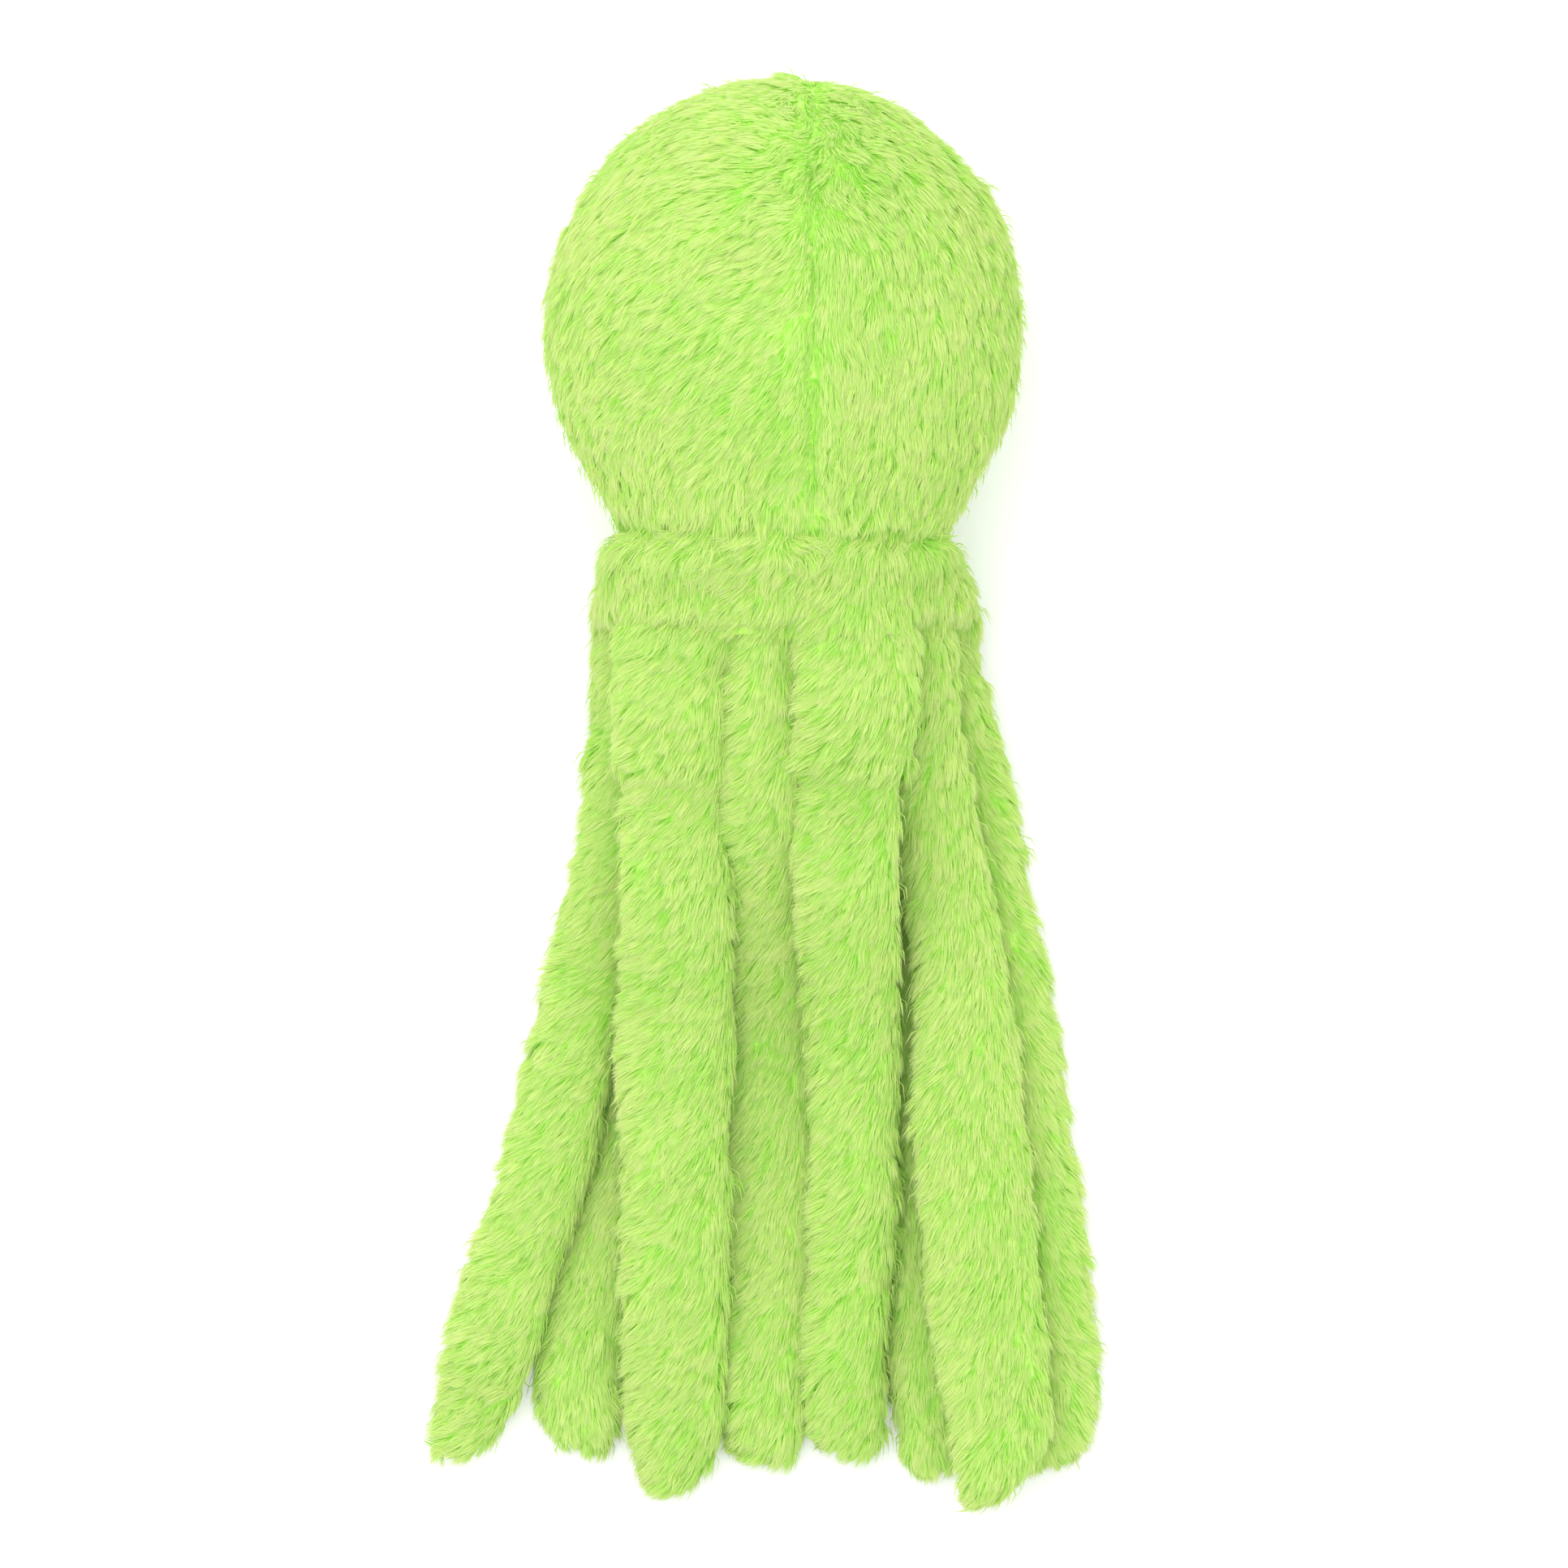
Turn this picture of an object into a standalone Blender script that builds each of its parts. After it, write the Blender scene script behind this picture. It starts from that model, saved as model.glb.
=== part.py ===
"""A plush octopus dog toy, lying face down on a flat surface.

The head is a fibre-filled ball of long-pile plush, sewn from two back panels and a front panel.
A short skirt hangs from the neck seam, and eight stuffed tentacles are sewn into its rim.
The origin is the middle of the flat spot under the head. +Y points to the crown, the tentacles
lie towards -Y, and +Z points up from the surface that the toy lies on.
Every solid reaches out to the tips of its pile. Sizes are in millimetres, and MM makes them metres.
"""
import math

import bmesh
import bpy
import numpy as np

MM = 0.001

# Fits
SEAM_GAP = 0.3        # between two sewn panels
FILL_GAP = 0.7        # between a cover and its filling
WAD_GAP = 2.0         # between the skirt and the wad in it
ROOT_GAP = 0.5        # between the skirt and the gathered tentacles
LAY_GAP = 0.5         # between two tentacles that lie on each other

# Head: a ball a little longer than wide, flattened where it rests
HEAD_WIDTH = 134.8
HEAD_LENGTH = 142.0   # of the full ball, from the crown to where the neck cuts it off
HEAD_HEIGHT = 118.0   # before it settles on its flat spot
HEAD_SETTLE = 3.0     # how far the ball has sunk onto the flat spot
HEAD_MIDDLE_X = -0.7
HEAD_MIDDLE_Y = -5.0
COVER = 4.0           # backing and packed pile of a cover panel
BACK_SEAM_X = 7.5     # the seam down the back of the head
HEAD_SIDES = 36
HEAD_RINGS = 13
RING_CROWDING = 1.5   # above 1, the rings lie closer together at the crown, where the ball turns fastest

# Neck
NECK_WIDTH = 93.6
NECK_Y = -62.0        # the seam between the head and the skirt
SHOULDER_Y = -45.0    # where the ball starts to run into the neck

# Skirt
SKIRT_END_Y = -91.0
SKIRT_SEAM_X = 2.6
RIM_MIDDLE_Z = 34.7   # the rim hangs lower than the neck
SKIRT_SIDES = 48
SKIRT_RINGS = 5
FINE_SIDES = 6        # directions tried on each of its sides, so that none cuts a corner of the roots
FOLD_SIDES = 3        # sides over which it bridges the gap between two roots

# Squeaker, blown from soft plastic, in a pocket of the head's filling
SQUEAKER_WIDTH = 38.0
SQUEAKER_NECK = 14.0
SQUEAKER_NECK_LENGTH = 12.0
SQUEAKER_MIDDLE_Y = -8.0
SQUEAKER_WALL = 1.2
SQUEAKER_SIDES = 24
BULB_STEPS = 9        # along the arc of its bulb
REED_LENGTH = 9.0
POCKET_ROOM = 1.0

# Tentacles
ROOT_Y = -84.0        # where they end inside the skirt
STEP_Y = -125.8       # where the upper panel of a top tentacle ends and its pile stands over the strip below
STEP_RISE = 1.1
STATION = 10.0        # between two sections
TIP_ROUND = 13.0      # how far from the end a tip starts to thin
TIP_CORNER = 4.0      # how far from the end a tip starts to narrow, seen from above
SECTION_POINTS = 16
SECTION_POWER = 2.4   # 2 is an ellipse, and more is squarer
SETTLE = 1.0          # how far a tentacle on the floor has sunk onto its flat underside
ROOT_INSET = 3.4      # how far the skirt squeezes the roots in on each side, so that it lies almost flush
SWELL_END_Y = -99.0   # they have swelled to their full section here
LAY_STEP = 2.5        # between two planes at which the lying tentacles are measured
LAY_GRID = 0.2        # between two heights taken across them
LAY_REACH = 3         # planes on each side over which a tentacle's line is eased
SKIRT_LIFT = 5.5      # the skirt holds the roots this far off the floor
LIFT_END_Y = -120.0
ROLL_END_Y = -145.0
FALL_END_Y = -175.0   # beyond here every tentacle lies on what is under it

# Each tentacle: its thickness, the height of its middle and its roll where it leaves the skirt,
# the end of its tip, and its middle line as (y, x, width).
# They are listed in the order in which they lie: each one rests on those before it.
TENTACLES = {
    "tentacle_2": dict(
        thick=16.0, root_height=14.0, root_roll=4.0, tip=-318.0,
        line=[(-84, -21, 22), (-115, -25, 22), (-150, -28, 22), (-194, -33.4, 24), (-217, -37.6, 26),
              (-240, -42.6, 26), (-262, -49.4, 26), (-284, -56, 25.4), (-300, -58, 23.6), (-308, -57.8, 20.6),
              (-318, -54.6, 13)],
    ),
    "tentacle_6": dict(
        thick=16.0, root_height=14.0, root_roll=-4.0, tip=-325.0,
        line=[(-84, 13, 22), (-115, 19, 22), (-150, 28, 22), (-190, 35, 22), (-217, 38, 22),
              (-252, 38.6, 22), (-298, 39.6, 21.4), (-312, 40.6, 18), (-325, 40, 12)],
    ),
    "tentacle_1": dict(
        thick=16.5, root_height=22.0, root_roll=70.0, tip=-321.6,
        line=[(-84, -41.6, 23), (-95, -46.2, 23), (-105, -45.6, 23.4), (-115, -44.8, 24), (-149, -46, 25.4),
              (-172, -51.6, 26), (-194, -57, 26.4), (-217, -61.8, 27), (-240, -67.2, 27.6),
              (-262, -74.6, 28.2), (-285, -81.3, 28), (-300, -85, 25.6), (-310, -88.6, 21.6),
              (-321, -92.2, 14)],
    ),
    "tentacle_8": dict(
        thick=16.5, root_height=18.0, root_roll=-74.0, tip=-324.6,
        line=[(-84, 40.4, 23), (-95, 45.8, 23), (-105, 48, 23.4), (-115, 49.4, 23.6), (-138, 53, 24.4),
              (-160, 55.8, 25), (-183, 61.2, 25), (-206, 65, 25.4), (-228, 67.3, 25.4),
              (-240, 69.4, 26), (-262, 71.6, 26), (-285, 74.2, 26), (-307, 74, 26.4), (-317, 72, 24),
              (-324, 69.5, 15)],
    ),
    "tentacle_4": dict(
        thick=17.0, root_height=62.0, root_roll=0.0, tip=-320.6, fall_end=-225.0,
        line=[(-84, -5.9, 15.8), (-95, -5.9, 14.8), (-128, -5.9, 14.8), (-150, -6.1, 18), (-176, -6, 24),
              (-210, -4.8, 25.4), (-239, -4.4, 25.4), (-254, -4.5, 25), (-270, -4.8, 24.4),
              (-288, -5.6, 22.6), (-320, -6, 20)],
    ),
    "tentacle_7": dict(
        thick=17.5, root_height=36.0, root_roll=-62.0, tip=-334.2,
        line=[(-84, 37.6, 24), (-97, 38.4, 24.6), (-116, 38.6, 25.4), (-133, 39.8, 26), (-148, 42.4, 26.8),
              (-161, 45, 27), (-190, 49.4, 28.4), (-224, 50.9, 32.6), (-244, 52.8, 33.2), (-264, 55.1, 33.8),
              (-284, 56.6, 32.8), (-298, 58.3, 31.4), (-315, 60.8, 28), (-326, 56.6, 18), (-334, 54.6, 11)],
    ),
    "tentacle_3": dict(
        thick=18.0, root_height=61.0, root_roll=9.0, tip=-331.6, fall_end=-222.0, step=True,
        line=[(-84, -29.5, 34), (-94, -30.9, 33), (-117, -31.3, 32.4), (-127, -30.2, 31),
              (-150, -30.5, 32), (-176, -30.4, 33), (-206, -30.8, 34.4), (-237, -30.2, 31),
              (-270, -30.9, 30.8), (-295, -31, 30), (-314, -30.8, 27.4), (-324, -32.2, 19), (-332, -34.4, 12)],
    ),
    "tentacle_5": dict(
        thick=18.0, root_height=60.0, root_roll=-7.0, tip=-320.6, fall_end=-210.0, step=True,
        line=[(-84, 18.4, 35), (-91, 19.6, 34.6), (-112, 19.6, 33), (-129, 17.8, 31.2), (-149, 16.6, 31),
              (-188, 18.4, 29), (-207, 19, 27.6), (-239, 18.9, 26), (-254, 19, 25.4), (-267, 18, 24.4),
              (-283, 17, 24.4), (-300, 16.6, 24), (-313, 17, 22.4), (-321, 18.6, 13)],
    ),
}

PLUSH_GREEN = (0.47, 0.75, 0.16, 1.0)
FIBRE_WHITE = (0.85, 0.85, 0.83, 1.0)
SQUEAKER_WHITE = (0.80, 0.82, 0.84, 1.0)


def start():
    """An empty scene with one collection for the toy and one for its cutters."""
    for thing in list(bpy.data.objects):
        bpy.data.objects.remove(thing, do_unlink=True)
    made = []
    for name in ("plush_octopus", "cutters"):
        collection = bpy.data.collections.new(name)
        bpy.context.scene.collection.children.link(collection)
        made.append(collection)
    return made


def plain_material(name, colour, roughness):
    material = bpy.data.materials.new(name)
    material.use_nodes = True
    shader = material.node_tree.nodes["Principled BSDF"]
    shader.inputs["Base Color"].default_value = colour
    shader.inputs["Roughness"].default_value = roughness
    shader.inputs["Metallic"].default_value = 0.0
    return material


def object_of(bm, name, collection, material=None, smooth=True):
    """Writes a bmesh made in millimetres to a named object in metres."""
    bmesh.ops.scale(bm, vec=(MM, MM, MM), verts=bm.verts)
    bmesh.ops.recalc_face_normals(bm, faces=bm.faces)
    mesh = bpy.data.meshes.new(name)
    bm.to_mesh(mesh)
    bm.free()
    made = bpy.data.objects.new(name, mesh)
    collection.objects.link(made)
    if material:
        mesh.materials.append(material)
    if smooth:
        mesh.shade_smooth()
    return made


def loft(rings, around=False):
    """A skin over rings of points, which all have the same number of points in the same order.

    Its ends are capped, or with around=True the last ring joins the first, as on a tube's wall.
    """
    bm = bmesh.new()
    rows = [[bm.verts.new(point) for point in ring] for ring in rings]
    count = len(rows[0])
    for low, high in zip(rows, rows[1:] + (rows[:1] if around else [])):
        for i in range(count):
            j = (i + 1) % count
            bm.faces.new((low[i], low[j], high[j], high[i]))
    if not around:
        bm.faces.new(rows[0])
        bm.faces.new(list(reversed(rows[-1])))
    return bm


def smooth_through(points):
    """A function for a smooth curve through (y, value) points, with y falling or rising."""
    points = sorted(points)
    ys = np.array([p[0] for p in points], float)
    values = np.array([p[1] for p in points], float)
    slopes = np.gradient(values, ys)

    def at(y):
        y = np.clip(y, ys[0], ys[-1])
        k = np.clip(np.searchsorted(ys, y) - 1, 0, len(ys) - 2)
        span = ys[k + 1] - ys[k]
        t = (y - ys[k]) / span
        return (
            (1 + 2 * t) * (1 - t) ** 2 * values[k]
            + t * (1 - t) ** 2 * span * slopes[k]
            + t * t * (3 - 2 * t) * values[k + 1]
            + t * t * (t - 1) * span * slopes[k + 1]
        )

    return at


def ease(y, start_y, end_y):
    """0 at start_y and 1 at end_y, level at both."""
    t = np.clip((y - start_y) / (end_y - start_y), 0, 1)
    return t * t * (3 - 2 * t)


# Head

def head_radius(y):
    """Half the head's width where the plane at y cuts it."""
    def ball(at):
        along = (at - HEAD_MIDDLE_Y) / (HEAD_LENGTH / 2)
        return HEAD_WIDTH / 2 * math.sqrt(max(0.0, 1 - along * along))

    if y >= SHOULDER_Y:
        return ball(y)
    t = (SHOULDER_Y - y) / (SHOULDER_Y - NECK_Y)
    return (1 - t) * ball(SHOULDER_Y) + t * NECK_WIDTH / 2


def head_surface(inset, end_y, close_end):
    """The head turned about its own axis, flattened, and settled on its flat spot."""
    flatness = (HEAD_HEIGHT / 2 - inset) / (HEAD_WIDTH / 2 - inset)
    middle_z = HEAD_HEIGHT / 2 - HEAD_SETTLE
    crown_y = HEAD_MIDDLE_Y + HEAD_LENGTH / 2
    bm = bmesh.new()
    profile = [bm.verts.new((0, crown_y - inset, 0))]
    for k in range(1, HEAD_RINGS + 1):
        y = crown_y + (NECK_Y - crown_y) * (k / HEAD_RINGS) ** RING_CROWDING
        radius = head_radius(y)
        # Moves the point inwards, square to the ball
        out_x = radius / (HEAD_WIDTH / 2) ** 2
        out_y = (y - HEAD_MIDDLE_Y) / (HEAD_LENGTH / 2) ** 2
        out = math.hypot(out_x, out_y)
        y_in = y - inset * out_y / out
        if y_in <= end_y:
            break
        profile.append(bm.verts.new((radius - inset * out_x / out, y_in, 0)))
    profile.append(bm.verts.new((head_radius(end_y) - inset, end_y, 0)))
    if close_end:
        profile.append(bm.verts.new((0, end_y, 0)))
    edges = [bm.edges.new(pair) for pair in zip(profile, profile[1:])]
    bmesh.ops.spin(
        bm, geom=profile + edges, cent=(0, 0, 0), axis=(0, 1, 0), angle=math.tau,
        steps=HEAD_SIDES, use_merge=True,
    )
    bmesh.ops.remove_doubles(bm, verts=bm.verts, dist=0.001)
    for vert in bm.verts:
        vert.co.x += HEAD_MIDDLE_X
        vert.co.z = max(inset, middle_z + vert.co.z * flatness)
    return bm


def box(name, low, high, collection):
    """A block between two corners, as a cutter."""
    bm = bmesh.new()
    bmesh.ops.create_cube(bm, size=1)
    for vert in bm.verts:
        vert.co = [a + (b - a) * (c + 0.5) for a, b, c in zip(low, high, vert.co)]
    made = object_of(bm, name, collection, smooth=False)
    made.hide_render = True
    made.display_type = "WIRE"
    return made


def keep_inside(made, cutter):
    cut = made.modifiers.new("panel", "BOOLEAN")
    cut.operation = "INTERSECT"
    cut.object = cutter


def thicken(made, thickness):
    wall = made.modifiers.new("wall", "SOLIDIFY")
    wall.thickness = thickness * MM
    wall.offset = -1
    wall.use_even_offset = True


def make_head(toy, cutters, plush, fibre):
    """The cover's three panels, and the fibre filling with a pocket for the squeaker."""
    side_seam_z = HEAD_HEIGHT / 2 - HEAD_SETTLE
    far = 2 * HEAD_LENGTH
    half = SEAM_GAP / 2
    panels = {
        "head_back_left": ((-far, NECK_Y, side_seam_z + half), (BACK_SEAM_X - half, far, far)),
        "head_back_right": ((BACK_SEAM_X + half, NECK_Y, side_seam_z + half), (far, far, far)),
        "head_front": ((-far, NECK_Y, -far), (far, far, side_seam_z - half)),
    }
    for name, (low, high) in panels.items():
        panel = object_of(head_surface(0, NECK_Y, close_end=False), name, toy, plush)
        thicken(panel, COVER)
        keep_inside(panel, box(name + "_cut", low, high, cutters))

    filling_inset = COVER + FILL_GAP
    filling = object_of(head_surface(filling_inset, NECK_Y, close_end=True), "head_stuffing", toy, fibre)
    pocket = turned(
        "pocket_cut", pocket_profile(POCKET_ROOM, NECK_Y - filling_inset), cutters, None)
    pocket.hide_render = True
    pocket.display_type = "WIRE"
    hollow = filling.modifiers.new("pocket", "BOOLEAN")
    hollow.operation = "DIFFERENCE"
    hollow.object = pocket


# Squeaker

def bulb_profile(radius, end_angle):
    """Points (radius, y) on an arc about the squeaker's middle, from 0 degrees at the crown's side."""
    points = []
    for k in range(BULB_STEPS + 1):
        angle = math.radians(end_angle * k / BULB_STEPS)
        points.append((radius * math.sin(angle), SQUEAKER_MIDDLE_Y + radius * math.cos(angle)))
    return points


def neck_angle(radius, neck_radius):
    return 180 - math.degrees(math.asin(neck_radius / radius))


def pocket_profile(room, end_y):
    """The room for the squeaker, with a straight way in from the neck."""
    radius = SQUEAKER_WIDTH / 2 + room
    return bulb_profile(radius, 90) + [(radius, end_y), (0, end_y)]


def turned(name, profile, collection, material):
    """Turns (radius, y) points about the toy's long axis, at the height of the head's middle."""
    bm = bmesh.new()
    verts = [bm.verts.new((radius, y, 0)) for radius, y in profile]
    edges = [bm.edges.new(pair) for pair in zip(verts, verts[1:])]
    bmesh.ops.spin(
        bm, geom=verts + edges, cent=(0, 0, 0), axis=(0, 1, 0), angle=math.tau,
        steps=SQUEAKER_SIDES, use_merge=True,
    )
    bmesh.ops.remove_doubles(bm, verts=bm.verts, dist=0.001)
    bmesh.ops.translate(bm, vec=(HEAD_MIDDLE_X, 0, HEAD_HEIGHT / 2 - HEAD_SETTLE), verts=bm.verts)
    return object_of(bm, name, collection, material)


def make_squeaker(toy, plastic):
    """A blown bulb with an open neck, and the reed that sits in that neck."""
    outer = SQUEAKER_WIDTH / 2
    inner = outer - SQUEAKER_WALL
    neck_out = SQUEAKER_NECK / 2
    neck_in = neck_out - SQUEAKER_WALL
    end_y = SQUEAKER_MIDDLE_Y - outer - SQUEAKER_NECK_LENGTH
    outside = bulb_profile(outer, neck_angle(outer, neck_out)) + [(neck_out, end_y)]
    inside = bulb_profile(inner, neck_angle(inner, neck_in)) + [(neck_in, end_y)]
    turned("squeaker", outside + list(reversed(inside)), toy, plastic)

    reed = neck_in - SEAM_GAP
    start_y = end_y + REED_LENGTH
    turned("squeaker_reed", [(0, start_y), (reed, start_y), (reed, end_y), (0, end_y)], toy, plastic)


# Tentacles

def section(half_width, half_thick, roll):
    """A soft, slightly square section in the plane across the tentacle, as (x, z) points."""
    angle = np.linspace(0, math.tau, SECTION_POINTS, endpoint=False)
    power = 2 / SECTION_POWER
    x = half_width * np.sign(np.cos(angle)) * np.abs(np.cos(angle)) ** power
    z = half_thick * np.sign(np.sin(angle)) * np.abs(np.sin(angle)) ** power
    turn = math.radians(roll)
    return np.stack([x * math.cos(turn) - z * math.sin(turn), x * math.sin(turn) + z * math.cos(turn)], 1)


def heights_over(points, grid):
    """The lowest and highest z of a closed outline at each x of a grid, or NaN beside it."""
    low = np.full(len(grid), np.nan)
    high = np.full(len(grid), np.nan)
    for (x0, z0), (x1, z1) in zip(points, np.roll(points, -1, axis=0)):
        if abs(x1 - x0) < 1e-9:
            continue
        over = (grid >= min(x0, x1)) & (grid <= max(x0, x1))
        z = z0 + (z1 - z0) * (grid[over] - x0) / (x1 - x0)
        low[over] = np.fmin(low[over], z)
        high[over] = np.fmax(high[over], z)
    return low, high


def tip_scale(y, tip_y, length):
    """How much of its full size a tentacle has at y: 1 until the tip rounds off."""
    into = min(max((tip_y + length - y) / length, 0), 1)
    return math.sqrt(1 - into * into)


def body_section(shape, y, whole=False):
    """A tentacle's outline at y, about its own middle; whole leaves the tip's rounding out."""
    middle_x = smooth_through([(p[0], p[1]) for p in shape["line"]])(y)
    width = smooth_through([(p[0], p[2]) for p in shape["line"]])(y)
    thick = shape["thick"]
    if shape.get("step") and y > STEP_Y:
        width += 2 * STEP_RISE
        thick += 2 * STEP_RISE
    roll = shape["root_roll"] * (1 - ease(y, ROOT_Y - STATION, ROLL_END_Y))
    squeezed = ROOT_INSET * (1 - ease(y, SKIRT_END_Y, SWELL_END_Y))
    if not whole:
        width *= tip_scale(y, shape["tip"], TIP_CORNER)
        thick *= tip_scale(y, shape["tip"], TIP_ROUND)
    points = section(width / 2 - squeezed, thick / 2 - squeezed, roll)
    points[:, 0] += middle_x
    return points


def lay_tentacles():
    """Works out how high each tentacle's middle line lies, from the first one laid to the last.

    At each station a tentacle lies on the floor or on those laid before it, and near the neck
    it hangs from the skirt.
    """
    lowest = min(shape["tip"] for shape in TENTACLES.values())
    widest = max(abs(x) + width for shape in TENTACLES.values() for y, x, width in shape["line"])
    stations = np.arange(ROOT_Y, lowest - STATION, -LAY_STEP)
    grid = np.arange(-widest, widest, LAY_GRID)
    floor = np.zeros((len(stations), len(grid)))
    lines = {}
    for name, shape in TENTACLES.items():
        rest = np.zeros(len(stations))
        tops = np.full(floor.shape, np.nan)
        for k, y in enumerate(stations):
            if y < shape["tip"] - STATION:
                rest[k] = rest[k - 1]
                continue
            points = body_section(shape, y, whole=True)
            low, high = heights_over(points, grid)
            lift = np.nanmax(floor[k] - low)
            skirt = SKIRT_LIFT * (1 - ease(y, SKIRT_END_Y, LIFT_END_Y))
            on_floor = np.nanmax(floor[k][~np.isnan(low)]) <= 0
            rest[k] = lift - (SETTLE if on_floor else 0) + skirt
            tops[k] = high
        hang = shape["root_height"] * (1 - ease(stations, ROOT_Y, shape.get("fall_end", FALL_END_Y)))
        rest = np.maximum(rest, hang)
        rest = eased_over(rest, LAY_REACH)
        lines[name] = height_reader(stations, rest)
        over = tops + rest[:, None] + LAY_GAP
        floor = np.fmax(floor, over)
    return lines


def eased_over(heights, reach):
    """Eases a line over its bumps, and never lets it down below them."""
    window = 2 * reach + 1
    padded = np.pad(heights, 2 * reach, mode="edge")
    crest = np.array([padded[i:i + window].max() for i in range(len(heights) + 2 * reach)])
    return np.array([crest[i:i + window].mean() for i in range(len(heights))])


def height_reader(stations, heights):
    def at(y):
        return float(np.interp(-y, -stations, heights))
    return at


def tentacle_stations(shape):
    """The planes of a tentacle's sections, from the root to the tip."""
    tip = shape["tip"]
    swell = SWELL_END_Y - 1.0
    planes = [ROOT_Y, SKIRT_END_Y - ROOT_GAP, swell]
    y = swell - STATION
    while y > tip + TIP_ROUND + STATION / 3:
        planes.append(y)
        y -= STATION
    planes += [tip + share * TIP_ROUND for share in (1.0, 0.7, 0.45, 0.25, 0.12, 0.03, 0.003)]
    if shape.get("step"):
        planes = [y for y in planes if abs(y - STEP_Y) > STATION / 3]
        planes += [STEP_Y + 0.2, STEP_Y - 1.2]
    return sorted(planes, reverse=True)


def tentacle_rings(shape, height):
    rings = []
    for y in tentacle_stations(shape):
        points = body_section(shape, y)
        z = np.maximum(points[:, 1] + height(y), 0.0)
        rings.append([(x, y, up) for x, up in zip(points[:, 0], z)])
    return rings


def make_tentacles(toy, plush, heights):
    for name, shape in TENTACLES.items():
        object_of(loft(tentacle_rings(shape, heights[name])), name, toy, plush)


# Skirt

def bundle_outline(heights, y, middle):
    """How far the gathered tentacles reach from a middle point, in each direction of the skirt's sides.

    The outline follows each tentacle and is eased over the gaps between them.
    """
    angles = np.linspace(0, math.tau, SKIRT_SIDES * FINE_SIDES, endpoint=False)
    towards = np.stack([np.cos(angles), np.sin(angles)], 1)
    reach = np.zeros(len(angles))
    for name, shape in TENTACLES.items():
        points = body_section(shape, y) + (0, heights[name](y)) - middle
        for start, end in zip(points, np.roll(points, -1, axis=0)):
            side = end - start
            turn = towards[:, 0] * side[1] - towards[:, 1] * side[0]
            turn = np.where(np.abs(turn) < 1e-9, 1e-9, turn)
            distance = (start[0] * side[1] - start[1] * side[0]) / turn
            share = (start[0] * towards[:, 1] - start[1] * towards[:, 0]) / turn
            hit = (share >= 0) & (share <= 1)
            reach = np.where(hit, np.maximum(reach, distance), reach)
    around = eased_over(np.tile(reach, 3), FOLD_SIDES * FINE_SIDES)
    return around[len(reach):2 * len(reach):FINE_SIDES]


def skirt_rings(heights, inset, stations):
    """Rings from the neck's ellipse to the outline of the gathered tentacles."""
    angles = np.linspace(0, math.tau, SKIRT_SIDES, endpoint=False)
    neck_middle = np.array([HEAD_MIDDLE_X, HEAD_HEIGHT / 2 - HEAD_SETTLE])
    neck_x = NECK_WIDTH / 2
    neck_z = neck_x * HEAD_HEIGHT / HEAD_WIDTH
    rim_middle = np.array([HEAD_MIDDLE_X, RIM_MIDDLE_Z])
    reach = np.maximum(
        bundle_outline(heights, SKIRT_END_Y, rim_middle),
        bundle_outline(heights, ROOT_Y, rim_middle),
    ) + COVER + ROOT_GAP
    rim = rim_middle + np.stack([reach * np.cos(angles), reach * np.sin(angles)], 1)
    neck = neck_middle + np.stack([neck_x * np.cos(angles), neck_z * np.sin(angles)], 1)
    rings = []
    for y in stations:
        fall = min((NECK_Y - y) / (NECK_Y - ROOT_Y), 1)
        t = math.sin(math.pi / 2 * fall)
        outline = neck * (1 - t) + rim * t
        middle = neck_middle * (1 - t) + rim_middle * t
        out = outline - middle
        length = np.linalg.norm(out, axis=1, keepdims=True)
        outline = middle + out * (1 - inset / length)
        outline[:, 1] = np.maximum(outline[:, 1], inset)
        rings.append([(x, y, z) for x, z in outline])
    return rings


def make_skirt(toy, cutters, plush, fibre, heights):
    """The gathered collar in two halves, and the wad of fibre that closes the neck."""
    far = 2 * HEAD_LENGTH
    half = SEAM_GAP / 2
    packed = list(np.linspace(NECK_Y - SEAM_GAP, ROOT_Y + SEAM_GAP, SKIRT_RINGS))
    outside = skirt_rings(heights, 0, packed + [SKIRT_END_Y])
    inside = skirt_rings(heights, COVER, packed + [SKIRT_END_Y])
    for name, low_x, high_x in (
        ("skirt_left", -far, SKIRT_SEAM_X - half),
        ("skirt_right", SKIRT_SEAM_X + half, far),
    ):
        collar = object_of(loft(outside + inside[::-1], around=True), name, toy, plush)
        keep_inside(collar, box(name + "_cut", (low_x, -far, -far), (high_x, far, far), cutters))

    wad = loft(skirt_rings(heights, COVER + WAD_GAP, packed))
    object_of(wad, "neck_stuffing", toy, fibre)


def main():
    toy, cutters = start()
    plush = plain_material("plush", PLUSH_GREEN, 0.85)
    fibre = plain_material("polyester_fibre", FIBRE_WHITE, 0.95)
    plastic = plain_material("soft_plastic", SQUEAKER_WHITE, 0.45)
    make_head(toy, cutters, plush, fibre)
    make_squeaker(toy, plastic)
    heights = lay_tentacles()
    make_tentacles(toy, plush, heights)
    make_skirt(toy, cutters, plush, fibre, heights)


main()
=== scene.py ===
# %% [markdown]
# # A long-pile plush octopus
#
# This toy is a ball of fibre in a plush cover, with a short skirt at its neck and eight stuffed
# tentacles. Nothing on it is hard, so its whole look is its pile: fine fibres, gathered in small
# locks, combed one way on each sewn panel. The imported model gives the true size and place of
# every sewn part, out to the tips of the pile. This script makes the cloth a few millimetres
# inside those shapes and plants the pile on it.

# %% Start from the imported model
import math

import bmesh
import bpy
import numpy as np
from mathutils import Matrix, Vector
from mathutils.bvhtree import BVHTree
from mathutils.kdtree import KDTree


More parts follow.
